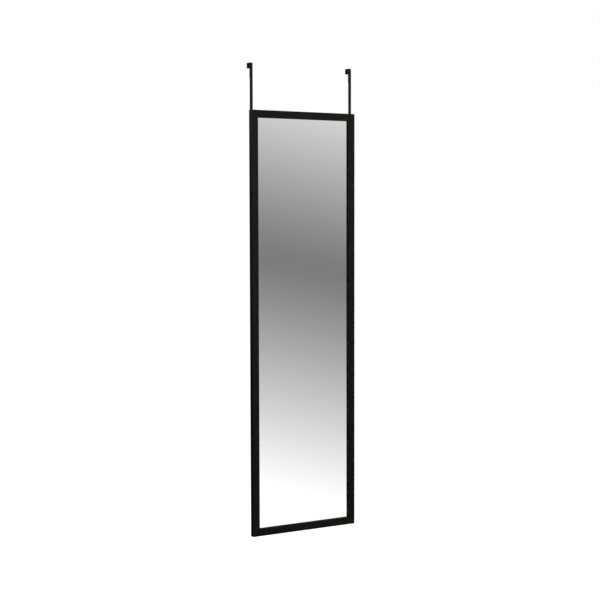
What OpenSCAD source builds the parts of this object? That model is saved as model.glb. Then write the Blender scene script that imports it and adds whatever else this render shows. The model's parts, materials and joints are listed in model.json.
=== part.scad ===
// Over-the-door mirror: a slim mitred frame hung from two flat-steel hooks.
// Millimetres. +X is to the right of someone facing the mirror, +Z is up, and the
// mirror faces -Y. The origin is midway between the hooks, on the edge where the
// door's face meets its top. The door fills y > 0, z < 0 inside the hooks.

/* [Frame] */
// Overall width of the frame
frame_w = 350; // [300:5:420]
// Overall height of the frame
frame_h = 1250; // [900:10:1500]
// Width of the flat face of each rail and stile
face_w = 22; // [20:1:32]
// Depth of the frame, front to back
frame_t = 15; // [14:0.5:20]
// Thickness of the lip in front of the pane
lip_t = 4.5; // [3:0.25:5]
// Width of the rabbet behind the lip
rabbet_w = 7; // [5:0.5:8]
// Radius of the two long front edges of each rail and stile
edge_r = 0.8; // [0.3:0.1:1.5]

/* [Pane and backing] */
// Thickness of the mirror glass
glass_t = 3; // [2:0.5:4]
// Thickness of the safety film behind the glass
film_t = 0.2; // [0.1:0.05:0.3]
// Thickness of the foam sheet
foam_t = 1; // [0.5:0.25:1.5]
// Thickness of the hardboard back panel
panel_t = 2.5; // [2:0.25:3]
// Room around the pane, film, foam and panel inside the rabbet
pane_gap = 1; // [0.5:0.25:2]

/* [Retaining points] */
// Width of a retaining point
point_w = 6; // [4:0.5:8]
// Thickness of a retaining point
point_t = 0.5; // [0.3:0.1:0.8]
// How far a point is driven into the moulding
point_bite = 4.5; // [3:0.5:5]
// How far a point reaches out over the back panel
point_reach = 8; // [5:0.5:12]
// Length of the sharp end of a point
point_tip = 2; // [1:0.5:2.5]
// Distance of the first and last point from the frame's ends
point_end = 100; // [60:5:110]
// Wanted distance from one point to the next
point_pitch = 150; // [100:10:200]

/* [Corner wedges] */
// Length of a wedge's leg
wedge_leg = 5.5; // [4:0.5:7]
// Thickness of a wedge's leg
wedge_t = 0.7; // [0.5:0.1:0.9]
// Height of a wedge, front to back
wedge_h = 10; // [7:0.5:12]
// Moulding left outside and inside the wedges
wedge_wall = 2.2; // [1.5:0.1:2.5]

/* [Hanging straps] */
// Width of a strap
strap_w = 9.5; // [8.5:0.25:12]
// Thickness of a strap
strap_t = 1.5; // [1:0.25:2]
// Distance of a strap's middle from the frame's outer side
strap_inset = 8; // [6:0.25:9]
// Height of the hook's top above the frame's top
strap_rise = 136.5; // [90:0.5:200]
// Inside radius of the hook's two bends
bend_r = 1; // [0.5:0.25:2]
// Length of the hook's back leg, from the hook's top down, short of a rebate's 13 mm step
hook_drop = 15.5; // [12:0.5:40]
// Clear depth of the hook, for a rebated door's edge
hook_opening = 15; // [13:0.5:45]
// Radius of the two corners of the back leg's end
drop_corner_r = 1.5; // [0.5:0.25:3]

/* [Height adjustment] */
// How far a strap can be pushed up from where it is drawn
travel_up = 30; // [10:5:40]
// How far a strap can be pushed down from where it is drawn
travel_down = 30; // [10:5:40]
// Distance of a strap's upper screw from the frame's top
screw_drop = 45; // [45:1:60]
// Distance between a strap's two screws
screw_pitch = 40; // [25:1:60]
// Width of the slot in a strap
slot_w = 4.2; // [3.9:0.1:5]
// Length of plain strap below the slot
tail_land = 8; // [6:1:15]

/* [Screws] */
// Diameter of a screw's shank
screw_d = 3.5; // [3:0.1:3.8]
// Length of a screw under its head
screw_l = 10; // [7:0.5:12]
// Length of a screw's pointed end
screw_tip = 2.5; // [1.5:0.5:3]
// Diameter of a screw's thin flat head
head_d = 8.5; // [7:0.25:9]
// Thickness of a screw's head
head_h = 1.2; // [0.9:0.1:1.3]
// Height of the sloping rim on a screw's head
head_rim = 0.5; // [0.2:0.1:0.6]
// Length of each arm of the cross in a screw's head
cross_l = 4.2; // [3:0.2:5]
// Width of each arm of the cross
cross_w = 0.9; // [0.6:0.1:1.2]
// Depth of the cross
cross_t = 0.7; // [0.4:0.1:0.8]

/* [Pads and bumpers] */
// Thickness of the foam pad inside a hook
pad_t = 1.5; // [1.5:0.25:4]
// Length of the pad down the back of the strap
pad_h = 40; // [20:5:60]
// Gap between the end of the pad and the bend of the back leg
pad_end_gap = 0.5; // [0.25:0.25:1]
// Diameter of a bumper
bumper_d = 10; // [8:0.5:12]
// Height of a bumper's middle above the frame's bottom
bumper_up = 30; // [22:1:80]
// Width of the sloping shoulder around a bumper's flat end
bumper_shoulder = 1.2; // [0.6:0.2:2]

/* [Clearances] */
// Room for a strap to slide, in front of it and behind it
strap_play = 0.1; // [0.05:0.05:0.15]

/* [Hidden] */

$fn = 48;
cut = 1;                 // how far a cutter runs past what it cuts
left = -1;
right = 1;

satin_black = [0.09, 0.09, 0.088];
strap_black = [0.11, 0.11, 0.108];
mirror_grey = [0.72, 0.74, 0.76];
film_white = [0.86, 0.87, 0.88];
foam_white = [0.93, 0.93, 0.92];
hardboard_brown = [0.45, 0.32, 0.21];
steel = [0.62, 0.62, 0.63];
screw_black = [0.14, 0.14, 0.14];
foam_black = [0.05, 0.05, 0.05];
bumper_grey = [0.2, 0.2, 0.2];

// Front to back: the strap's back rests on the pad, the pad on the door at y = 0
strap_back = -pad_t;
strap_front = strap_back - strap_t;
frame_back = strap_front - strap_play;
frame_front = frame_back - frame_t;
head_seat = strap_back + strap_play;
glass_front = frame_front + lip_t;
film_front = glass_front + glass_t;
foam_front = film_front + film_t;
panel_front = foam_front + foam_t;
point_front = panel_front + panel_t;

// Top to bottom: the pad rests on the door's top at z = 0
bar_low = pad_t;
bar_top = bar_low + strap_t;
frame_top = bar_top - strap_rise;
frame_low = frame_top - frame_h;
frame_mid = frame_top - frame_h / 2;
screw_zs = [frame_top - screw_drop, frame_top - screw_drop - screw_pitch];
slot_top = screw_zs[0] + travel_down + slot_w / 2;
slot_low = screw_zs[1] - travel_up - slot_w / 2;
tail_low = slot_low - tail_land;

// Across: the solid part of the moulding outside the rabbet, and what sits in it
body_w = face_w - rabbet_w;
pane_w = frame_w - 2 * (body_w + pane_gap);
pane_h = frame_h - 2 * (body_w + pane_gap);
strap_x = frame_w / 2 - strap_inset;
bumper_x = frame_w / 2 - body_w / 2;

// Where a square corner at the origin is rounded off, in the quadrant x > 0, y > 0
module corner_notch(r) {
    difference() {
        translate([-cut, -cut])
            square(r + cut);
        translate([r, r])
            circle(r);
    }
}

// ---------------------------------------------------------------- frame

// The moulding's section: x runs in from the frame's outer side, y back from its face
module frame_section() {
    difference() {
        square([face_w, frame_t]);
        translate([body_w, lip_t])
            square([rabbet_w + cut, frame_t]);
        corner_notch(edge_r);
        translate([face_w, 0])
            mirror([1, 0])
                corner_notch(edge_r);
    }
}

// One mitred length of moulding along X, its outer side on z = 0 and its face on y = 0
module mitred_bar(length) {
    half = length / 2;
    inner = face_w + cut;
    intersection() {
        rotate([0, -90, 0])
            linear_extrude(length, center = true)
                frame_section();
        translate([0, frame_t + cut, 0])
            rotate([90, 0, 0])
                linear_extrude(frame_t + 2 * cut)
                    polygon([
                        [-half - cut, -cut],
                        [half + cut, -cut],
                        [half - inner, inner],
                        [inner - half, inner]
                    ]);
    }
}

// A bar in its place, less what is driven into it
module placed_bar(length, x, z, turn) {
    color(satin_black)
        difference() {
            translate([x, frame_front, z])
                rotate([0, turn, 0])
                    mitred_bar(length);
            points();
            wedges();
        }
}

module frame_top_rail() {
    placed_bar(frame_w, 0, frame_top, 180);
}

module frame_bottom_rail() {
    placed_bar(frame_w, 0, frame_low, 0);
}

module frame_stile(side) {
    color(satin_black)
        difference() {
            placed_bar(frame_h, side * frame_w / 2, frame_mid, -90 * side);
            screw_shanks(side);
        }
}

module frame_left_stile() {
    frame_stile(left);
}

module frame_right_stile() {
    frame_stile(right);
}

// ---------------------------------------------------------------- pane and backing

module pane_sheet(front, thickness) {
    translate([-pane_w / 2, front, frame_mid - pane_h / 2])
        cube([pane_w, thickness, pane_h]);
}

module mirror_glass() {
    color(mirror_grey)
        pane_sheet(glass_front, glass_t);
}

module glass_safety_film() {
    color(film_white)
        pane_sheet(film_front, film_t);
}

module foam_sheet() {
    color(foam_white)
        pane_sheet(foam_front, foam_t);
}

module back_panel() {
    color(hardboard_brown)
        pane_sheet(panel_front, panel_t);
}

// ---------------------------------------------------------------- retaining points

// Offsets from the middle of a bar at which its retaining points are driven in
function point_offsets(length) =
    let (
        span = length - 2 * point_end,
        gaps = max(1, round(span / point_pitch))
    )
    [for (i = [0:gaps]) -span / 2 + i * span / gaps];

// One point, its sharp end at the origin, running in along +Z over the back panel
module retaining_point() {
    half = point_w / 2;
    length = point_bite + point_reach;
    translate([0, point_t, 0])
        rotate([90, 0, 0])
            linear_extrude(point_t)
                polygon([
                    [0, 0],
                    [half, point_tip],
                    [half, length],
                    [-half, length],
                    [-half, point_tip]
                ]);
}

module points() {
    depth = body_w - point_bite;
    for (x = point_offsets(frame_w)) {
        translate([x, point_front, frame_low + depth])
            retaining_point();
        translate([x, point_front, frame_top - depth])
            rotate([0, 180, 0])
                retaining_point();
    }
    for (z = point_offsets(frame_h), side = [left, right])
        translate([side * (frame_w / 2 - depth), point_front, frame_mid + z])
            rotate([0, -90 * side, 0])
                retaining_point();
}

module retaining_points() {
    color(steel)
        points();
}

// ---------------------------------------------------------------- corner wedges

// One wedge for the lower left corner: its fold on the mitre, a leg in each bar
module corner_wedge() {
    translate([0, frame_back, 0])
        rotate([90, 0, 0])
            linear_extrude(wedge_h)
                polygon([
                    [0, 0],
                    [wedge_leg, 0],
                    [wedge_leg, wedge_t],
                    [wedge_t, wedge_t],
                    [wedge_t, wedge_leg],
                    [0, wedge_leg]
                ]);
}

module wedges() {
    for (side = [left, right], top = [false, true])
        translate([side * frame_w / 2, 0, top ? frame_top : frame_low])
            mirror([side == right ? 1 : 0, 0, 0])
                mirror([0, 0, top ? 1 : 0])
                    for (inset = [wedge_wall, body_w - wedge_leg - wedge_wall])
                        translate([inset, 0, inset])
                            corner_wedge();
}

module corner_wedges() {
    color(steel)
        wedges();
}

// ---------------------------------------------------------------- hanging straps

// The strap's upright, flat, with its slot: x across the strap, y up
module upright_outline() {
    end_r = strap_w / 2;
    difference() {
        union() {
            translate([-end_r, tail_low + end_r])
                square([strap_w, bar_low - bend_r - tail_low - end_r]);
            translate([0, tail_low + end_r])
                circle(end_r);
        }
        for (z = [slot_low, slot_top - slot_w])
            translate([0, z + slot_w / 2])
                circle(slot_w / 2);
        translate([-slot_w / 2, slot_low + slot_w / 2])
            square([slot_w, slot_top - slot_low - slot_w]);
    }
}

// The back leg, flat, with its lower corners rounded
module drop_outline() {
    low = bar_top - hook_drop;
    difference() {
        translate([-strap_w / 2, low])
            square([strap_w, bar_low - bend_r - low]);
        for (side = [0, 1])
            mirror([side, 0])
                translate([-strap_w / 2, low])
                    corner_notch(drop_corner_r);
    }
}

// A quarter bend of the strap about its own centre, in the quadrant y > 0, z > 0
module bend() {
    rotate([90, 0, 90])
        linear_extrude(strap_w, center = true)
            intersection() {
                difference() {
                    circle(bend_r + strap_t);
                    circle(bend_r);
                }
                square(bend_r + strap_t);
            }
}

// A flat outline stood up in the XZ plane, its front face on y = front
module plate(front) {
    translate([0, front + strap_t, 0])
        rotate([90, 0, 0])
            linear_extrude(strap_t)
                children();
}

module hanging_strap(side) {
    bend_z = bar_low - bend_r;
    color(strap_black)
        translate([side * strap_x, 0, 0]) {
            plate(strap_front)
                upright_outline();
            translate([0, strap_back + bend_r, bend_z])
                mirror([0, 1, 0])
                    bend();
            translate([-strap_w / 2, strap_back + bend_r, bar_low])
                cube([strap_w, hook_opening - strap_back - 2 * bend_r, strap_t]);
            translate([0, hook_opening - bend_r, bend_z])
                bend();
            plate(hook_opening)
                drop_outline();
        }
}

module left_hanging_strap() {
    hanging_strap(left);
}

module right_hanging_strap() {
    hanging_strap(right);
}

// ---------------------------------------------------------------- strap screws

// Places for the two screws of a strap, each pointing forward into the stile
module at_screws(side) {
    for (z = screw_zs)
        translate([side * strap_x, head_seat, z])
            rotate([90, 0, 0])
                children();
}

module screw_shanks(side) {
    at_screws(side) {
        cylinder(d = screw_d, h = screw_l - screw_tip);
        translate([0, 0, screw_l - screw_tip])
            cylinder(d1 = screw_d, d2 = screw_d / 6, h = screw_tip);
    }
}

module strap_screws(side) {
    color(screw_black) {
        screw_shanks(side);
        at_screws(side)
            mirror([0, 0, 1])
                difference() {
                    union() {
                        cylinder(d = head_d, h = head_h - head_rim);
                        translate([0, 0, head_h - head_rim])
                            cylinder(d1 = head_d, d2 = head_d - 2 * head_rim, h = head_rim);
                    }
                    for (turn = [0, 90])
                        rotate([0, 0, turn])
                            translate([-cross_l / 2, -cross_w / 2, head_h - cross_t])
                                cube([cross_l, cross_w, cross_t + cut]);
                }
    }
}

module left_strap_screws() {
    strap_screws(left);
}

module right_strap_screws() {
    strap_screws(right);
}

// ---------------------------------------------------------------- pads and bumpers

// The pad's section: x runs back into the hook, y up
module pad_section() {
    reach = hook_opening - bend_r - pad_end_gap;
    difference() {
        union() {
            translate([-pad_t, -pad_h])
                square([pad_t, pad_h + pad_t]);
            translate([-pad_t, 0])
                square([pad_t + reach, pad_t]);
        }
        translate([-pad_t, pad_t])
            mirror([0, 1])
                corner_notch(bend_r);
    }
}

module hook_pad(side) {
    color(foam_black)
        translate([side * strap_x, 0, 0])
            rotate([90, 0, 90])
                linear_extrude(strap_w, center = true)
                    pad_section();
}

module left_hook_pad() {
    hook_pad(left);
}

module right_hook_pad() {
    hook_pad(right);
}

// A bumper stuck on the stile's back, with its flat end against the door at y = 0
module bumper(side) {
    height = -frame_back;
    color(bumper_grey)
        translate([side * bumper_x, frame_back, frame_low + bumper_up])
            rotate([-90, 0, 0]) {
                cylinder(d = bumper_d, h = height - bumper_shoulder);
                translate([0, 0, height - bumper_shoulder])
                    cylinder(
                        d1 = bumper_d,
                        d2 = bumper_d - 2 * bumper_shoulder,
                        h = bumper_shoulder
                    );
            }
}

module left_bumper() {
    bumper(left);
}

module right_bumper() {
    bumper(right);
}

frame_top_rail();
frame_bottom_rail();
frame_left_stile();
frame_right_stile();
mirror_glass();
glass_safety_film();
foam_sheet();
back_panel();
retaining_points();
corner_wedges();
left_hanging_strap();
right_hanging_strap();
left_strap_screws();
right_strap_screws();
left_hook_pad();
right_hook_pad();
left_bumper();
right_bumper();
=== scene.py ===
"""Over the door mirror: the looks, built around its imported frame.

Everything is in metres in the frame's own axes: +X is to the right of someone facing the
mirror, +Z is up, and the mirror faces -Y. The door that it hangs on would fill y > 0, z < 0.
"""
import json
import math

import bmesh
import bpy
from mathutils import Matrix, Vector, noise


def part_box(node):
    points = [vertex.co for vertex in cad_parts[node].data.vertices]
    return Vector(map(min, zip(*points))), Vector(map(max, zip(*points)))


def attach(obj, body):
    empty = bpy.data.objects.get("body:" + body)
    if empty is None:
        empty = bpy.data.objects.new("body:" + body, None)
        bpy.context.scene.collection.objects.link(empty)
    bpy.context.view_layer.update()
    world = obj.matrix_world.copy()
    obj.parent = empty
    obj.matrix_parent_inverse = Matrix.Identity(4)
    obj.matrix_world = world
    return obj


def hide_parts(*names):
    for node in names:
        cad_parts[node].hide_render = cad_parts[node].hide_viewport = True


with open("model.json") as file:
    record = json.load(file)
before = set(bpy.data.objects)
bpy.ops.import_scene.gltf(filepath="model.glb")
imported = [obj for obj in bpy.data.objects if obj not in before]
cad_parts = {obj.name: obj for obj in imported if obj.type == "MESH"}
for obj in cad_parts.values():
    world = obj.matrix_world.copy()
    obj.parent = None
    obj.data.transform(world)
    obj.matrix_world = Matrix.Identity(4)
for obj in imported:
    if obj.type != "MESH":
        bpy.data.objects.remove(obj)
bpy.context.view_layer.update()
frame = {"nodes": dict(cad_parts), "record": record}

MM = 0.001
SIDES = ("left", "right")


# ---------------------------------------------------------------- places in the frame

def middle_of(node):
    """The middle of a CAD node's box."""
    low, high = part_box(node)
    return (low + high) / 2


FRAME_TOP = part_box("frame_top_rail")[1].z
STRAP_X = middle_of("right_hanging_strap").x

SCREWS_LOW, SCREWS_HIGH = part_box("right_strap_screws")
HEAD_RADIUS = (SCREWS_HIGH.x - SCREWS_LOW.x) / 2
SCREW_HEIGHTS = (SCREWS_HIGH.z - HEAD_RADIUS, SCREWS_LOW.z + HEAD_RADIUS)

# Sizes of the screws that the boxes don't tell
SHANK_RADIUS = 1.75 * MM
HEAD_HEIGHT = 1.2 * MM
CROSS_REACH = 2.1 * MM       # from the middle to the end of an arm of the cross
CROSS_DEPTH = 1.0 * MM


# ---------------------------------------------------------------- node helpers

def plug(tree, socket, value):
    """Gives an input its value: a number, a colour or another node's output."""
    if isinstance(value, bpy.types.NodeSocket):
        tree.links.new(value, socket)
    else:
        socket.default_value = value


def add_node(tree, kind, inputs=None, **settings):
    """Adds a node with these values for its inputs."""
    made = tree.nodes.new("ShaderNode" + kind)
    for key, value in settings.items():
        setattr(made, key, value)
    for key, value in (inputs or {}).items():
        plug(tree, made.inputs[key], value)
    return made


def maths(tree, operation, *values):
    """The outcome of a Math node on numbers or outputs."""
    return add_node(tree, "Math", dict(enumerate(values)), operation=operation).outputs[0]


def distance(tree, value, target):
    """How far a value is from a target, to either side."""
    return maths(tree, "ABSOLUTE", maths(tree, "SUBTRACT", value, target))


def ramp(tree, factor, stops):
    """A colour ramp through (position, grey or colour) stops."""
    made = add_node(tree, "ValToRGB", {"Fac": factor})
    band = made.color_ramp
    while len(band.elements) < len(stops):
        band.elements.new(0.5)
    for element, (position, shade) in zip(band.elements, stops):
        element.position = position
        element.color = (*shade, 1) if isinstance(shade, tuple) else (shade, shade, shade, 1)
    return made.outputs["Color"]


def spread(tree, value, low, high, start=0.0, end=1.0, smooth=False):
    """A value from start to end brought to the range from low to high."""
    return add_node(tree, "MapRange", {
        "Value": value, "From Min": start, "From Max": end, "To Min": low, "To Max": high,
    }, interpolation_type="SMOOTHSTEP" if smooth else "LINEAR").outputs["Result"]


def mixed_colour(tree, factor, first, second, blend="MIX"):
    """Two colours mixed by a factor, each a colour or another node's output."""
    made = add_node(tree, "Mix", data_type="RGBA", blend_type=blend)
    colours = [socket for socket in made.inputs if socket.type == "RGBA"]
    for socket, value in zip([made.inputs[0], *colours], (factor, first, second)):
        plug(tree, socket, value)
    return next(socket for socket in made.outputs if socket.type == "RGBA")


def object_place(tree, longer=(1, 1, 1), turn=0):
    """Places on the piece in the frame's axes, turned by degrees about Y and stretched."""
    place = add_node(tree, "TexCoord").outputs["Object"]
    if longer == (1, 1, 1):
        return place
    return add_node(tree, "Mapping", {
        "Vector": place, "Rotation": (0, math.radians(turn), 0), "Scale": longer,
    }, vector_type="TEXTURE").outputs["Vector"]


def place_axes(tree):
    """The places on the piece as separate X, Y and Z."""
    return add_node(tree, "SeparateXYZ", {0: object_place(tree)}).outputs


def grain(tree, size, detail=3.0, roughness=0.55, longer=(1, 1, 1), turn=0, bend=0.0):
    """Noise from 0 to 1 whose blobs are about size metres across, or longer along an axis."""
    return add_node(tree, "TexNoise", {
        "Vector": object_place(tree, longer, turn),
        "Scale": 1 / size,
        "Detail": detail,
        "Roughness": roughness,
        "Distortion": bend,
    }).outputs["Fac"]


def cells(tree, size):
    """Distance from the middle of round cells about size metres across."""
    return add_node(tree, "TexVoronoi", {
        "Vector": object_place(tree), "Scale": 1 / size,
    }).outputs["Distance"]


def bumped(tree, height, depth, strength=1.0):
    """A normal for a relief of depth metres."""
    return add_node(tree, "Bump", {
        "Height": height, "Distance": depth, "Strength": strength,
    }).outputs["Normal"]


def material(name, paint):
    """A material whose Principled shader is set up by paint(tree, shader)."""
    made = bpy.data.materials.new(name)
    made.use_nodes = True
    tree = made.node_tree
    paint(tree, tree.nodes["Principled BSDF"])
    return made


def set_inputs(tree, shader, **values):
    """Sets or links the Principled shader's inputs, with _ for a blank in their names."""
    for key, value in values.items():
        plug(tree, shader.inputs[key.replace("_", " ")], value)


# ---------------------------------------------------------------- materials

PLANED = 60                  # how many times longer than wide the moulding's fine lines are


def satin_black(along):
    """The moulding: satin black, with the faintest lines of the planer along its length."""
    longer = (PLANED, 1, 1) if along == "X" else (1, 1, PLANED)

    def paint(tree, shader):
        lines = grain(tree, 0.8 * MM, detail=2, longer=longer)
        broad = grain(tree, 24 * MM, detail=2)
        tone = ramp(tree, broad, ((0.3, (0.0104, 0.0104, 0.0099)), (0.7, (0.0130, 0.0130, 0.0124))))
        streaks = ramp(tree, lines, ((0.3, 0.70), (0.7, 1.30)))
        gloss = maths(tree, "ADD", spread(tree, broad, 0.38, 0.46), spread(tree, lines, 0.0, 0.06))
        set_inputs(
            tree, shader,
            Base_Color=mixed_colour(tree, 1.0, tone, streaks, "MULTIPLY"),
            Roughness=gloss,
            Specular_IOR_Level=0.03,
            Normal=bumped(tree, lines, 0.008 * MM),
        )

    return paint


def paint_corner_wear_and_sheen(tree, shader):
    """The moulding's corners: a little smoother, and greyer than its faces, partly wear and partly a
    painted edge highlight.
    """
    wear_and_sheen_mottle = grain(tree, 6 * MM, detail=5, roughness=0.7)
    set_inputs(
        tree, shader,
        # Lighter edge colour: partly wear, partly a painted edge highlight
        Base_Color=ramp(tree, wear_and_sheen_mottle, ((0.35, (0.012, 0.012, 0.0115)), (0.7, (0.036, 0.036, 0.034)))),
        Roughness=spread(tree, wear_and_sheen_mottle, 0.42, 0.32),
        Specular_IOR_Level=0.12,
    )


def from_screws(tree):
    """Distance along a strap from the middle of its nearest screw, and off the strap's middle."""
    axes = place_axes(tree)
    across = distance(tree, maths(tree, "ABSOLUTE", axes["X"]), STRAP_X)
    upper, lower = (distance(tree, axes["Z"], height) for height in SCREW_HEIGHTS)
    return maths(tree, "MINIMUM", upper, lower), across


STEEL = (0.30, 0.30, 0.31, 1)      # bare, where the black is rubbed off
# Painted shade: the dark colour put down in the screws' cross recesses, where shade falls
RECESS_SHADE = (0.006, 0.006, 0.006, 1)   # what lies in the screws' recesses
RUB_REACH = 11 * MM          # how far above and below a screw its head has rubbed the strap
RUB_FULL = 0.6               # how far to each side it has rubbed fully, as a share of its radius


def paint_powder_coat(tree, shader):
    """The straps: black powder coat with its orange-peel skin, rubbed thin under the heads."""
    peel = grain(tree, 1.1 * MM, detail=1)
    speck = grain(tree, 0.3 * MM, detail=1)
    coat = ramp(tree, speck, ((0.35, (0.0092, 0.0092, 0.0088)), (0.75, (0.0125, 0.0125, 0.0120))))
    along, across = from_screws(tree)
    beside = spread(tree, across, 1, 0, HEAD_RADIUS * RUB_FULL, HEAD_RADIUS, smooth=True)
    near = spread(tree, along, 1, 0, HEAD_RADIUS, RUB_REACH, smooth=True)
    streaks = spread(tree, grain(tree, 0.35 * MM, detail=3, longer=(1, 1, 14)), 0, 0.7, 0.5, 0.66)
    rubbed = maths(tree, "MULTIPLY", maths(tree, "MULTIPLY", beside, near), streaks)
    set_inputs(
        tree, shader,
        Base_Color=mixed_colour(tree, rubbed, coat, STEEL),
        Metallic=rubbed,
        Roughness=spread(tree, peel, 0.34, 0.46),
        Specular_IOR_Level=0.08,
        Normal=bumped(tree, peel, 0.012 * MM),
    )


def paint_edge_wear_and_sheen(tree, shader):
    """The straps' edges: the coat thin and a little polished, and lighter in colour, partly wear and
    partly a painted edge highlight.
    """
    nicks_and_sheen = grain(tree, 1.4 * MM, detail=4, roughness=0.7)
    set_inputs(
        tree, shader,
        # Lighter edge colour: partly wear, partly a painted edge highlight
        Base_Color=ramp(tree, nicks_and_sheen, ((0.45, (0.010, 0.010, 0.0096)), (0.75, (0.028, 0.028, 0.027)))),
        Roughness=spread(tree, nicks_and_sheen, 0.46, 0.36),
        Specular_IOR_Level=0.15,
    )


def paint_screw(tree, shader):
    """The screws: black passivated steel, bright where the driver has bitten, with painted shade down in
    the cross.
    """
    mottle = grain(tree, 0.6 * MM)
    dark = ramp(tree, mottle, ((0.3, (0.030, 0.030, 0.032)), (0.7, (0.065, 0.065, 0.067))))
    squares = (maths(tree, "POWER", way, 2.0) for way in from_screws(tree))
    reach = maths(tree, "POWER", maths(tree, "ADD", *squares), 0.5)
    depth = maths(tree, "SUBTRACT", SCREWS_HIGH.y, place_axes(tree)["Y"])
    # Painted shade darkens the cross down in its recess, and the driver has scuffed the head round it
    below = spread(tree, depth, 0, 1, CROSS_DEPTH * 0.15, CROSS_DEPTH * 0.45, smooth=True)
    within = spread(tree, reach, 1, 0, CROSS_REACH * 1.05, CROSS_REACH * 1.15)
    # The painted shade's mask: deep in the cross and within its reach
    shaded_recess = maths(tree, "MULTIPLY", below, within)
    bitten = spread(tree, reach, 1, 0, CROSS_REACH * 0.5, CROSS_REACH * 1.15, smooth=True)
    scuffs = spread(tree, grain(tree, 0.3 * MM, detail=4), 0, 0.8, 0.52, 0.66)
    head = mixed_colour(tree, maths(tree, "MULTIPLY", bitten, scuffs), dark, STEEL)
    set_inputs(
        tree, shader,
        Base_Color=mixed_colour(tree, shaded_recess, head, RECESS_SHADE),
        Metallic=0.8,
        Roughness=spread(tree, mottle, 0.30, 0.45),
    )


def paint_foam(tree, shader):
    """The hook pads: black closed-cell foam."""
    pores = cells(tree, 0.45 * MM)
    set_inputs(
        tree, shader,
        Base_Color=ramp(tree, pores, ((0.0, (0.006, 0.006, 0.006)), (0.6, (0.024, 0.024, 0.023)))),
        Roughness=0.9,
        Specular_IOR_Level=0.2,
        Normal=bumped(tree, pores, 0.12 * MM, 0.8),
    )


def paint_rubber(tree, shader):
    """The bumpers: dark soft rubber with a dusty bloom."""
    bloom = grain(tree, 3 * MM)
    fine = grain(tree, 0.3 * MM)
    set_inputs(
        tree, shader,
        Base_Color=ramp(tree, bloom, ((0.3, (0.022, 0.022, 0.022)), (0.8, (0.05, 0.05, 0.049)))),
        Roughness=spread(tree, bloom, 0.55, 0.75),
        Specular_IOR_Level=0.35,
        Normal=bumped(tree, fine, 0.02 * MM, 0.5),
    )


FIBRE_TURNS = (8, 41, 79, 112, 151)  # degrees: the ways that the hardboard's fibres lie


def paint_hardboard(tree, shader):
    """The back panel: smooth brown hardboard, pressed from fibres that lie every way."""
    fibres = 0.0
    for turn in FIBRE_TURNS:
        layer = grain(tree, 0.45 * MM, detail=4, roughness=0.65, longer=(1, 1, 8), turn=turn, bend=0.5)
        fibres = maths(tree, "MAXIMUM", fibres, layer)
    clouds = grain(tree, 70 * MM, detail=4)
    ground = ramp(tree, clouds, ((0.3, (0.202, 0.114, 0.059)), (0.7, (0.232, 0.134, 0.070))))
    light = ramp(tree, fibres, ((0.50, 0.66), (0.61, 0.98), (0.76, 1.42)))
    bark = maths(tree, "ADD", cells(tree, 7 * MM), spread(tree, grain(tree, 1.2 * MM), -0.09, 0.09))
    specks = ramp(tree, bark, ((0.035, 0.35), (0.075, 1.0)))
    shade = mixed_colour(tree, 1.0, light, specks, "MULTIPLY")
    set_inputs(
        tree, shader,
        Base_Color=mixed_colour(tree, 1.0, ground, shade, "MULTIPLY"),
        Roughness=spread(tree, fibres, 0.62, 0.42, 0.4, 0.75),
        Specular_IOR_Level=0.35,
        Normal=bumped(tree, fibres, 0.03 * MM),
    )


def paint_zinc(tree, shader):
    """The points and wedges: zinc plated steel."""
    streaks = grain(tree, 0.7 * MM, detail=4, longer=(1, 1, 5))
    set_inputs(
        tree, shader,
        Base_Color=ramp(tree, streaks, ((0.3, (0.50, 0.51, 0.53)), (0.7, (0.68, 0.68, 0.68)))),
        Metallic=0.75,
        Roughness=spread(tree, streaks, 0.28, 0.45),
    )


def paint_film(tree, shader):
    """The safety film: milky plastic."""
    cloud = grain(tree, 12 * MM)
    set_inputs(
        tree, shader,
        Base_Color=ramp(tree, cloud, ((0.3, (0.70, 0.72, 0.73)), (0.7, (0.78, 0.80, 0.81)))),
        Roughness=spread(tree, cloud, 0.3, 0.45),
    )


def paint_foam_sheet(tree, shader):
    """The foam sheet: white, with fine closed cells."""
    pores = cells(tree, 0.7 * MM)
    set_inputs(
        tree, shader,
        Base_Color=ramp(tree, pores, ((0.0, (0.78, 0.78, 0.77)), (0.5, (0.88, 0.88, 0.87)))),
        Roughness=0.8,
        Normal=bumped(tree, pores, 0.1 * MM, 0.6),
    )


def paint_glass(tree, shader):
    """The pane's front: clear float glass with the faintest waviness."""
    wave = grain(tree, 160 * MM, detail=0)
    set_inputs(
        tree, shader,
        Base_Color=(1.0, 1.0, 1.0, 1.0),
        Roughness=0.0,
        IOR=1.52,
        Transmission_Weight=1.0,
        Normal=bumped(tree, wave, 0.01 * MM),
    )


def paint_silver(tree, shader):
    """The pane's back: silvering, seen through the glass."""
    mottle = grain(tree, 40 * MM)
    set_inputs(
        tree, shader,
        Base_Color=ramp(tree, mottle, ((0.3, (0.972, 0.975, 0.974)), (0.7, (0.978, 0.980, 0.979)))),
        Metallic=1.0,
        Roughness=0.0,
    )


def paint_ground_edge(tree, shader):
    """The pane's ground edges: matt and a little green."""
    scratches = grain(tree, 0.2 * MM)
    set_inputs(
        tree, shader,
        Base_Color=ramp(tree, scratches, ((0.3, (0.34, 0.42, 0.39)), (0.7, (0.50, 0.58, 0.55)))),
        Roughness=0.6,
        Normal=bumped(tree, scratches, 0.03 * MM, 0.6),
    )


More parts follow.
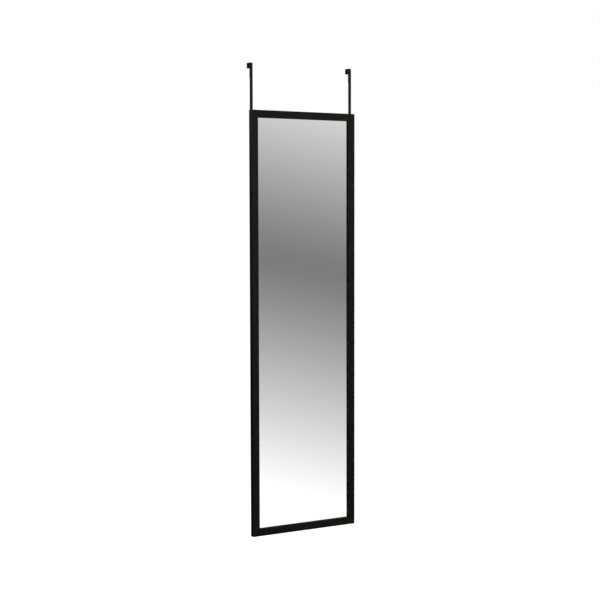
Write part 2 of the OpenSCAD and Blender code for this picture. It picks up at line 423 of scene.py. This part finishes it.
RAIL_BLACK = material("satin_black_rail", satin_black("X"))
STILE_BLACK = material("satin_black_stile", satin_black("Z"))
CORNER_WEAR_AND_SHEEN = material("satin_black_corner", paint_corner_wear_and_sheen)
POWDER_COAT = material("powder_coat", paint_powder_coat)
EDGE_WEAR_AND_SHEEN = material("powder_coat_edge", paint_edge_wear_and_sheen)
BLACK_STEEL = material("black_steel", paint_screw)
PAD_FOAM = material("pad_foam_black", paint_foam)
BUMPER_RUBBER = material("bumper_rubber_dark", paint_rubber)
HARDBOARD = material("hardboard_brown", paint_hardboard)
ZINC = material("zinc", paint_zinc)
FILM = material("film_milky", paint_film)
FOAM_SHEET = material("foam_white", paint_foam_sheet)
GLASS = material("float_glass", paint_glass)
SILVER = material("silvering", paint_silver)
GROUND_EDGE = material("ground_edge", paint_ground_edge)


# ---------------------------------------------------------------- making pieces

def body_of(node):
    """The CAD body that a node belongs to."""
    return next(body for body, nodes in frame["record"]["behaviour"]["bodies"].items()
                if node in nodes)


def stand_for(piece, node):
    """The piece stands in for the CAD node: it joins the node's body, and the node is hidden."""
    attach(piece, body_of(node))
    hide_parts(node)


def new_object(name, data):
    """An object in the scene that holds a mesh, a lamp or a camera."""
    made = bpy.data.objects.new(name, data)
    bpy.context.scene.collection.objects.link(made)
    return made


def new_piece(name, mesh, *finishes):
    """An object that shows a mesh with these materials."""
    piece = new_object(name, mesh)
    for finish in finishes:
        mesh.materials.append(finish)
    return piece


def mesh_from(shape, name, sharp=180):
    """Ends a bmesh and returns it as a mesh, crisp along edges sharper than so many degrees."""
    bmesh.ops.recalc_face_normals(shape, faces=shape.faces)
    for face in shape.faces:
        face.smooth = sharp > 0
    for edge in shape.edges:
        edge.smooth = edge.calc_face_angle(0) < math.radians(sharp)
    mesh = bpy.data.meshes.new(name)
    shape.to_mesh(mesh)
    shape.free()
    return mesh


def join_rings(shape, rings):
    """Builds the walls between rings of as many points each, and returns them."""
    walls = []
    for ring, following in zip(rings, rings[1:]):
        for i in range(len(ring)):
            j = (i + 1) % len(ring)
            walls.append(shape.faces.new((ring[i], ring[j], following[j], following[i])))
    return walls


def close_solid(shape, rings):
    """Builds a solid from rings: the walls between them and a flat face at either end."""
    join_rings(shape, rings)
    for ring in (rings[0], rings[-1]):
        shape.faces.new(ring)


WELD = 0.001 * MM            # points closer than this become one
FLAT = math.radians(0.4)     # faces that turn less than this from each other become one
SHARP = math.radians(35)     # edges sharper than this are rounded over


def soften(node, name, width, *finishes):
    """Shows a CAD node as a copy with its sharp edges rounded over, in the last of its finishes."""
    shape = bmesh.new()
    shape.from_mesh(frame["nodes"][node].data)
    bmesh.ops.remove_doubles(shape, verts=shape.verts, dist=WELD)
    bmesh.ops.dissolve_limit(shape, angle_limit=FLAT, verts=shape.verts, edges=shape.edges)
    for face in shape.faces:
        face.material_index = 0
    piece = new_piece(name, mesh_from(shape, name), *finishes)
    bevel = piece.modifiers.new("edges", "BEVEL")
    bevel.width = width
    bevel.segments = 2
    bevel.limit_method = "ANGLE"
    bevel.angle_limit = SHARP
    bevel.use_clamp_overlap = False
    bevel.harden_normals = True
    bevel.material = len(finishes) - 1
    stand_for(piece, node)


# ---------------------------------------------------------------- frame and backing

# How far the edges are rounded over
BAR_ROUNDING = 0.15 * MM
PANEL_ROUNDING = 0.3 * MM
POINT_ROUNDING = 0.08 * MM
WEDGE_ROUNDING = 0.06 * MM
STRAP_ROUNDING = 0.25 * MM

for node, finish in (
    ("frame_top_rail", RAIL_BLACK), ("frame_bottom_rail", RAIL_BLACK),
    ("frame_left_stile", STILE_BLACK), ("frame_right_stile", STILE_BLACK),
):
    soften(node, node.removeprefix("frame_"), BAR_ROUNDING, finish, CORNER_WEAR_AND_SHEEN)

soften("back_panel", "hardboard_back", PANEL_ROUNDING, HARDBOARD)
soften("retaining_points", "steel_points", POINT_ROUNDING, ZINC)
soften("corner_wedges", "v_nails", WEDGE_ROUNDING, ZINC)

# Sealed in between the pane and the panel, these two keep their CAD meshes
for node, finish in (("glass_safety_film", FILM), ("foam_sheet", FOAM_SHEET)):
    for slot in frame["nodes"][node].material_slots:
        slot.material = finish


# ---------------------------------------------------------------- mirror pane

PANE_SEAT = 0.03 * MM        # air between the pane and what it touches
PANE_ARRIS = 0.4 * MM        # the ground corner all round it


def rectangle_ring(shape, low, high, inset, y):
    """Four corners of a rectangle drawn in by inset, at depth y, anticlockwise from the front."""
    xs = (low.x + inset, high.x - inset)
    zs = (low.z + inset, high.z - inset)
    corners = ((xs[0], zs[0]), (xs[1], zs[0]), (xs[1], zs[1]), (xs[0], zs[1]))
    return [shape.verts.new((x, y, z)) for x, z in corners]


def mirror_pane():
    """The pane: clear in front, ground round its edges, silvered at the back."""
    low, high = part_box("mirror_glass")
    front, back = low.y + PANE_SEAT, high.y - PANE_SEAT
    shape = bmesh.new()
    rings = [
        rectangle_ring(shape, low, high, PANE_ARRIS, front),
        rectangle_ring(shape, low, high, 0, front + PANE_ARRIS),
        rectangle_ring(shape, low, high, 0, back - PANE_ARRIS),
        rectangle_ring(shape, low, high, PANE_ARRIS, back),
    ]
    shape.faces.new(rings[0]).material_index = 0
    shape.faces.new(rings[-1]).material_index = 1
    for wall in join_rings(shape, rings):
        wall.material_index = 2
    piece = new_piece("mirror_pane", mesh_from(shape, "mirror_pane", sharp=0),
                      GLASS, SILVER, GROUND_EDGE)
    stand_for(piece, "mirror_glass")


mirror_pane()


# ---------------------------------------------------------------- turned shapes

ROUND = 64                   # sides of a turned shape
CAP = 0.1                    # radius of the flat that closes its end, as a share of its own


def circle_ring(shape, radius, depth):
    """A circle of points about the Y axis, at a depth along it."""
    angles = [2 * math.pi * i / ROUND for i in range(ROUND)]
    return [shape.verts.new((radius * math.cos(a), depth, radius * math.sin(a))) for a in angles]


def turned(profile):
    """A closed solid from (radius, depth) points about the Y axis."""
    shape = bmesh.new()
    close_solid(shape, [circle_ring(shape, radius, depth) for radius, depth in profile])
    return shape


def arc(middle, radius, start, end, steps):
    """Points on an arc, its angles in degrees."""
    angles = [math.radians(start + (end - start) * i / steps) for i in range(steps + 1)]
    return [(middle[0] + radius * math.cos(a), middle[1] + radius * math.sin(a)) for a in angles]


# ---------------------------------------------------------------- strap screws

HEAD_DOME = 0.12 * MM        # how far the head's middle stands above its edge
DOME_RINGS = (0.66, 0.4, CAP)  # radii of the dome's rings, as shares of the head's
HEAD_RIM = 0.5 * MM          # radius of the head's rounded rim
RIM_TURN = 78                # degrees that the rim turns through before the dome begins
HEAD_CHAMFER = 0.12 * MM     # the slant under the rim
UNDER_CAP = 1.2              # radius of the flat that closes it below, as a share of the shank's
CROSS_HALF = 0.48 * MM       # half of an arm's width
CROSS_DRAFT = 0.28           # how much smaller the cross is at its bottom
SHANK_ROOT = 0.1 * MM        # how far the shank goes up into the head
THREAD_PITCH = 1.3 * MM
THREAD_DEPTH = 0.42 * MM
THREAD_SIDES = 20
RINGS_A_TURN = 10
TIP_LENGTH = 2.5 * MM
TIP_BLUNT = 0.06             # radius of the very tip, as a share of the shank's
CROSS_TURNS = {"left": (14, 63), "right": (38, -9)}  # degrees, upper and lower screw


def cross_cutter():
    """A tapered cross as deep as the recess, which runs as far out above the head."""
    quarter = ((CROSS_HALF, CROSS_HALF), (CROSS_REACH, CROSS_HALF), (CROSS_REACH, -CROSS_HALF))
    outline = []
    for quarters in range(4):
        for x, z in quarter:
            for _ in range(quarters):
                x, z = z, -x
            outline.append((x, z))
    shape = bmesh.new()
    rings = [
        [shape.verts.new((x * scale, depth, z * scale)) for x, z in outline]
        for depth, scale in (
            (HEAD_HEIGHT - CROSS_DEPTH, 1 - CROSS_DRAFT),
            (HEAD_HEIGHT + CROSS_DEPTH, 1 + CROSS_DRAFT),
        )
    ]
    close_solid(shape, rings)
    return new_piece("cutter", mesh_from(shape, "cutter"))


def threaded_shank(length):
    """The shank of a screw, from within its head down to its point."""
    count = round(length / THREAD_PITCH * RINGS_A_TURN)
    shape = bmesh.new()
    rings = []
    for step in range(count + 1):
        depth = length * step / count if step else -SHANK_ROOT
        taper = min(1.0, max(TIP_BLUNT, (length - depth) / TIP_LENGTH))
        ring = []
        for i in range(THREAD_SIDES):
            # The ridge takes half of every pitch: 1 along its crest and 0 in the root beside it
            turn = (depth / THREAD_PITCH - i / THREAD_SIDES) % 1
            ridge = max(0.0, 1 - abs(turn - 0.5) * 4)
            reach = (SHANK_RADIUS - THREAD_DEPTH * (1 - ridge)) * taper
            angle = 2 * math.pi * i / THREAD_SIDES
            ring.append(shape.verts.new((reach * math.cos(angle), -depth, reach * math.sin(angle))))
        rings.append(ring)
    close_solid(shape, rings)
    return new_piece("shank", mesh_from(shape, "shank"))


def screw_mesh(length):
    """A screw on the Y axis: a thin domed head on depth 0 with its cross, and its shank."""
    rim = (HEAD_RADIUS - HEAD_RIM, HEAD_HEIGHT - HEAD_DOME - HEAD_RIM)
    profile = [
        (SHANK_RADIUS * UNDER_CAP, 0),
        (HEAD_RADIUS - HEAD_CHAMFER, 0),
        (HEAD_RADIUS, HEAD_CHAMFER),
        *arc(rim, HEAD_RIM, 0, RIM_TURN, steps=6),
        *((HEAD_RADIUS * share, HEAD_HEIGHT - HEAD_DOME * share ** 2) for share in DOME_RINGS),
    ]
    head = new_piece("head", mesh_from(turned(profile), "head"))
    others = {"DIFFERENCE": cross_cutter(), "UNION": threaded_shank(length)}
    for operation, other in others.items():
        boolean = head.modifiers.new(operation, "BOOLEAN")
        boolean.operation = operation
        boolean.object = other
        boolean.solver = "EXACT"
    whole = head.evaluated_get(bpy.context.evaluated_depsgraph_get())
    mesh = bpy.data.meshes.new_from_object(whole)
    for used in (head, *others.values()):
        bpy.data.objects.remove(used)
    return mesh


def one_screw(place, turn, length):
    """The mesh of a screw whose head stands on a place, its cross turned by degrees."""
    shape = bmesh.new()
    shape.from_mesh(screw_mesh(length))
    shape.transform(Matrix.Translation(place) @ Matrix.Rotation(math.radians(turn), 4, "Y"))
    return mesh_from(shape, "screw")


def strap_screws(side):
    """The two screws that a strap slides under."""
    low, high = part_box(side + "_strap_screws")
    x = (low.x + high.x) / 2
    seat = high.y - HEAD_HEIGHT
    both = bmesh.new()
    for z, turn in zip(SCREW_HEIGHTS, CROSS_TURNS[side]):
        both.from_mesh(one_screw((x, seat, z), turn, seat - low.y))
    name = side + "_screws"
    piece = new_piece(name, mesh_from(both, name, sharp=32), BLACK_STEEL)
    stand_for(piece, side + "_strap_screws")


for side in SIDES:
    soften(side + "_hanging_strap", side + "_strap_steel", STRAP_ROUNDING, POWDER_COAT, EDGE_WEAR_AND_SHEEN)
    strap_screws(side)


# ---------------------------------------------------------------- hook pads

PAD_BEND = 1.0 * MM          # radius where the pad follows the strap's bend
PAD_FOLD = 0.4 * MM          # radius of its inner corner
PAD_EDGE = 0.45 * MM         # how far in from its long sides the free side is rounded off
PAD_SHOULDER = 0.96          # where that rounding ends, as a share of its thickness
PAD_RISE = 0.24              # how much of its thickness the rounding takes
PAD_CROWN = 0.03             # how far it falls from its middle to its sides, likewise
PAD_STEP = 0.8 * MM          # distance from one ring of points to the next
PAD_LUMPS = 0.035 * MM       # how uneven its free side is
PAD_GRAIN = 1.4 * MM         # how wide those lumps are
PAD_PINCH = 0.12             # how much thinner it is at its cut ends


def pad_line(low, high):
    """Pairs of points (y, z) on the glued and the free side, from its low end to its far end."""
    thickness = high.z
    bend = (low.y + PAD_BEND, high.z - PAD_BEND)
    fold = (low.y + thickness + PAD_FOLD, -PAD_FOLD)
    pairs = []
    steps = round((fold[1] - low.z) / PAD_STEP)
    for i in range(steps):
        z = low.z + (fold[1] - low.z) * i / steps
        pairs.append(((low.y, z), (low.y + thickness, z)))
    pairs += zip(arc(bend, PAD_BEND, 180, 90, steps=8), arc(fold, PAD_FOLD, 180, 90, steps=8))
    steps = round((high.y - fold[0]) / PAD_STEP)
    for i in range(1, steps + 1):
        y = fold[0] + (high.y - fold[0]) * i / steps
        pairs.append(((y, high.z), (y, 0.0)))
    return pairs


def pad_section(half):
    """Points (x, share of the thickness) round the foam's section, crowned on its free side."""
    corner = [
        (half - PAD_EDGE * (1 - math.cos(angle)), PAD_SHOULDER - PAD_RISE * (1 - math.sin(angle)))
        for angle in map(math.radians, range(0, 81, 16))
    ]
    crown = [(half * share, 1 - PAD_CROWN * share ** 2) for share in (0.7, 0.35)]
    right_side = [(half, 0.0), *corner, *crown]
    left_side = [(-x, share) for x, share in reversed(right_side)]
    return [*right_side, (0.0, 1.0), *left_side]


def hook_pad(side):
    """The foam strip that lines a hook, folded into its corner."""
    low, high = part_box(side + "_hook_pad")
    x = (low.x + high.x) / 2
    section = pad_section((high.x - low.x) / 2)
    pairs = pad_line(low, high)
    shape = bmesh.new()
    rings = []
    for i, (glued, free) in enumerate(pairs):
        height = 1 - PAD_PINCH if i in (0, len(pairs) - 1) else 1
        ring = []
        for across, share in section:
            y, z = (a + (b - a) * share * height for a, b in zip(glued, free))
            lump = abs(noise.noise(Vector((x + across, y, z)) / PAD_GRAIN)) * PAD_LUMPS * share
            ring.append(shape.verts.new((x + across, y - lump, z + lump)))
        rings.append(ring)
    close_solid(shape, rings)
    name = side + "_pad_foam"
    piece = new_piece(name, mesh_from(shape, name, sharp=50), PAD_FOAM)
    stand_for(piece, side + "_hook_pad")


# ---------------------------------------------------------------- bumpers

BUMPER_BASE = 0.15 * MM      # the slant where it meets the frame
BUMPER_SHOULDER = 1.2 * MM   # radius of its rounded shoulder
BUMPER_DISH = 0.12 * MM      # how hollow the middle of its flat end is
DISH_RIM = 0.7               # where that hollow begins, as a share of the flat end's radius
DISH_FLOOR = 0.6             # where it has its full depth, likewise


def bumper(side):
    """A moulded bumper with a rounded shoulder and a slightly dished end."""
    low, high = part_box(side + "_bumper")
    radius = (high.x - low.x) / 2
    height = high.y - low.y
    flat = radius - BUMPER_SHOULDER
    dish = height - BUMPER_DISH
    shape = turned([
        (radius * CAP, 0),
        (radius - BUMPER_BASE, 0),
        (radius, BUMPER_BASE),
        *arc((flat, height - BUMPER_SHOULDER), BUMPER_SHOULDER, 0, 90, steps=10),
        (flat * DISH_RIM, height),
        (flat * DISH_FLOOR, dish),
        (radius * CAP, dish),
    ])
    place = middle_of(side + "_bumper")
    shape.transform(Matrix.Translation((place.x, low.y, place.z)))
    name = side + "_rubber_foot"
    piece = new_piece(name, mesh_from(shape, name, sharp=40), BUMPER_RUBBER)
    stand_for(piece, side + "_bumper")


for side in SIDES:
    hook_pad(side)
    bumper(side)


# ---------------------------------------------------------------- backdrop and floor

# The camera's turn in degrees about +Z, from looking along +Y
CAMERA_TURN = -29.379

# What the mirror shows of the studio: white, with one soft grey band along the horizon
BAND_ANGLE = -2.0            # degrees above the horizon of the band's middle
BAND_GREY = 0.492            # its brightness there, on a screen
BAND_SLOPE = 0.0575          # how much brighter it is for every degree away from there
BAND_ROUND = 0.8             # degrees over which its middle is rounded
BAND_FADE = 0.04             # how softly it ends in white
BAND_WHITE = 1.02            # that white, which the pane dulls a little
BAND_TILT = 0.22             # how steeply it runs down to the right
TILT_REACH = 0.15            # how far to each side it goes on doing so
SCREEN_GAMMA = 2.2           # from brightness on a screen to light

# A black flag behind the mirror and to its left, which keeps the frame's outer side dark
FLAG_TOWARDS = Vector((-0.49, 0.82, -0.28)).normalized()
FLAG_CORE = 24               # degrees from its middle that are black
FLAG_EDGE = 55               # degrees from its middle at which it has faded out
FLAG_SHADE = 0.10            # how much of the backdrop it leaves

# The studio's floor and ceiling, which the mirror shows to someone who looks well down or up
FAR_START = 14               # degrees from the horizon at which the white begins to dim
FAR_END = 32                 # and at which it is as dim as it gets
FAR_GREY = 0.78              # how much of the white is left there

SKY_LIGHT = 0.14             # the soft light from all round

FLOOR_Z = -2.0               # a door's top is about 2 m above the floor
FLOOR_HALF = 30.0            # half of its width
FLOOR_WHITE = (0.8, 0.8, 0.8, 1)
FLOOR_GLOW = 0.90            # what keeps the floor white to the eye


def dot_product(tree, first, second):
    """The dot product of two vectors, each given or another node's output."""
    return add_node(tree, "VectorMath", {0: first, 1: second}, operation="DOT_PRODUCT").outputs["Value"]


def backdrop_grey(tree):
    """The grey of the backdrop by direction."""
    direction = add_node(tree, "TexCoord").outputs["Generated"]
    turn = math.radians(CAMERA_TURN)
    across = (math.cos(turn), math.sin(-turn), 0)  # the camera's right, as the mirror reflects it
    sideways = dot_product(tree, direction, across)
    shift = BAND_TILT * TILT_REACH * 2 / 3  # a smooth step is 3/2 as steep in its middle
    middle = math.sin(math.radians(BAND_ANGLE))
    middle = spread(tree, sideways, middle + shift, middle - shift, -TILT_REACH, TILT_REACH, smooth=True)
    height = add_node(tree, "SeparateXYZ", {0: direction}).outputs["Z"]
    away = maths(tree, "SUBTRACT", height, middle)
    rounding = math.radians(BAND_ROUND)
    away = maths(tree, "SQRT", maths(tree, "ADD", maths(tree, "MULTIPLY", away, away), rounding ** 2))
    slope = math.degrees(BAND_SLOPE)
    grey = maths(tree, "MULTIPLY_ADD", away, slope, BAND_GREY - slope * rounding)
    grey = maths(tree, "SMOOTH_MIN", grey, BAND_WHITE, BAND_FADE)
    flagged = dot_product(tree, direction, FLAG_TOWARDS)
    edge, core = (math.cos(math.radians(angle)) for angle in (FLAG_EDGE, FLAG_CORE))
    grey = maths(tree, "MULTIPLY", grey, spread(tree, flagged, 1, FLAG_SHADE, edge, core))
    start, end = (math.sin(math.radians(angle)) for angle in (FAR_START, FAR_END))
    far = spread(tree, maths(tree, "ABSOLUTE", height), 1, FAR_GREY, start, end, smooth=True)
    grey = maths(tree, "MULTIPLY", grey, far)
    return maths(tree, "POWER", grey, SCREEN_GAMMA)


def light_world():
    """White to the eye, the backdrop's greys to gloss and glass, and a soft light to the rest."""
    world = bpy.data.worlds.new("studio")
    bpy.context.scene.world = world
    world.use_nodes = True
    tree = world.node_tree
    tree.nodes.clear()
    path = add_node(tree, "LightPath").outputs
    colour = mixed_colour(tree, path["Is Camera Ray"], backdrop_grey(tree), (1, 1, 1, 1))
    shown = add_node(tree, "Background", {"Color": colour, "Strength": 1.0}).outputs[0]
    lit = add_node(tree, "Background", {"Color": (1, 1, 1, 1), "Strength": SKY_LIGHT}).outputs[0]
    gloss = maths(tree, "MAXIMUM", path["Is Glossy Ray"], path["Is Transmission Ray"])
    seen = maths(tree, "MAXIMUM", path["Is Camera Ray"], gloss)
    both = add_node(tree, "MixShader", {0: seen, 1: lit, 2: shown}).outputs[0]
    add_node(tree, "OutputWorld", {"Surface": both})


def paint_floor(tree, shader):
    """White with the object's shadow on it, and open from below."""
    matt = add_node(tree, "BsdfDiffuse", {"Color": FLOOR_WHITE}).outputs[0]
    glow = add_node(tree, "Emission", {"Color": (1, 1, 1, 1), "Strength": FLOOR_GLOW}).outputs[0]
    top = add_node(tree, "AddShader", {0: matt, 1: glow}).outputs[0]
    clear = add_node(tree, "BsdfTransparent").outputs[0]
    below = add_node(tree, "NewGeometry").outputs["Backfacing"]
    seen = add_node(tree, "MixShader", {0: below, 1: top, 2: clear}).outputs[0]
    tree.links.new(seen, tree.nodes["Material Output"].inputs["Surface"])
    tree.nodes.remove(shader)


def lay_floor():
    """The plain pale floor that the door would stand on."""
    shape = bmesh.new()
    corners = ((-1, -1), (1, -1), (1, 1), (-1, 1))
    shape.faces.new([shape.verts.new((x * FLOOR_HALF, y * FLOOR_HALF, FLOOR_Z))
                     for x, y in corners])
    floor = new_piece("floor", mesh_from(shape, "floor"), material("floor_white", paint_floor))
    floor.visible_diffuse = False
    floor.visible_glossy = False
    floor.visible_transmission = False


# ---------------------------------------------------------------- lamps and camera

def hang_lamp(name, place, target, size, watts, gloss=False):
    """A square soft lamp. Only one that stands behind the mirror may show in gloss."""
    data = bpy.data.lights.new(name, "AREA")
    data.shape = "SQUARE"
    data.size = size
    data.energy = watts
    lamp = new_object(name, data)
    lamp.location = place
    lamp.rotation_euler = (Vector(target) - Vector(place)).to_track_quat("-Z", "Y").to_euler()
    lamp.visible_camera = False
    lamp.visible_glossy = gloss
    lamp.visible_transmission = False


# The photograph's camera, fitted to the corners of the frame and of the pane's opening
CAMERA_PLACE = (-1.8973, -3.3605, -0.4487)
CAMERA_DROP = 3.585          # degrees below the horizon
CAMERA_ROLL = -0.142         # degrees about its line of sight
IMAGE_PIXELS = 600           # the image's width
FOCAL_PIXELS = 1294.2        # its focal length in those pixels
SENSOR = 36.0                # millimetres


def place_camera():
    """The camera at the photograph's viewing angle."""
    data = bpy.data.cameras.new("camera")
    data.sensor_width = SENSOR
    data.lens = SENSOR * FOCAL_PIXELS / IMAGE_PIXELS
    camera = new_object("camera", data)
    camera.matrix_world = (
        Matrix.Translation(CAMERA_PLACE)
        @ Matrix.Rotation(math.radians(CAMERA_TURN), 4, "Z")
        @ Matrix.Rotation(math.radians(90 - CAMERA_DROP), 4, "X")
        @ Matrix.Rotation(math.radians(CAMERA_ROLL), 4, "Z")
    )
    bpy.context.scene.camera = camera


light_world()
lay_floor()
hang_lamp("key", (0.3, -1.9, FRAME_TOP + 0.9), (0, 0, FRAME_TOP - 0.3), size=1.0, watts=40)
hang_lamp("fill", (1.8, -1.8, FRAME_TOP - 0.2), (0, 0, FRAME_TOP - 0.6), size=1.2, watts=4)
hang_lamp("back", (-0.9, 2.0, FRAME_TOP + 1.5), (0, 0, FRAME_TOP - 0.5), size=1.2, watts=40, gloss=True)
hang_lamp("back_fill", (0.9, 2.2, FRAME_TOP - 0.8), (0, 0, FRAME_TOP - 0.9), size=1.2, watts=25)
place_camera()
bpy.context.scene.view_settings.view_transform = "Standard"
